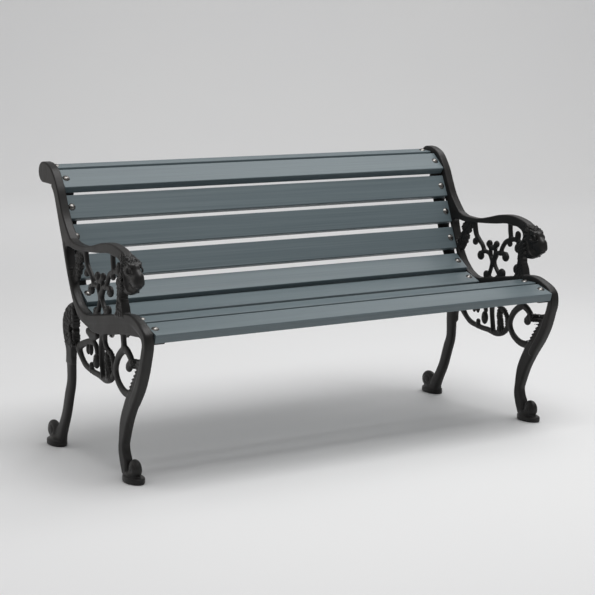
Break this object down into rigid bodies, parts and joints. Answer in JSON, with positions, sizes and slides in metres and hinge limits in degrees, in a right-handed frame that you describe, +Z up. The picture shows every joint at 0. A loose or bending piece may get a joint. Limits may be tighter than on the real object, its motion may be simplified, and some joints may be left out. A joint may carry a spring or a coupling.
{
  "type": "garden bench",
  "caption": "Slatted timber garden bench with a curved back and seat, on two cast iron end frames with scrollwork and an animal head at each arm.",
  "frame": {"origin": "on the floor, at the middle of the bench's bounding box", "axes": "+X along the bench to the sitter's left, +Y from the front to the back, +Z up"},
  "size_m": [1.308, 0.6196, 0.7605],
  "materials": {
    "casting": "black cast iron, satin",
    "slat": "blue-grey stained wood, satin",
    "fastener": "dull dark steel"
  },
  "bodies": {
    "root": {"left_end_frame": "casting", "right_end_frame": "casting", "top_slat": "slat", "back_slat_1": "slat", "back_slat_2": "slat", "back_slat_3": "slat", "back_slat_4": "slat", "back_slat_5": "slat", "seat_slat_1": "slat", "seat_slat_2": "slat", "seat_slat_3": "slat", "seat_slat_4": "slat", "seat_slat_5": "slat", "coach_bolts_left": "fastener", "coach_bolts_right": "fastener", "washers_left": "fastener", "washers_right": "fastener", "nuts_left": "fastener", "nuts_right": "fastener"}
  },
  "joints": []
}
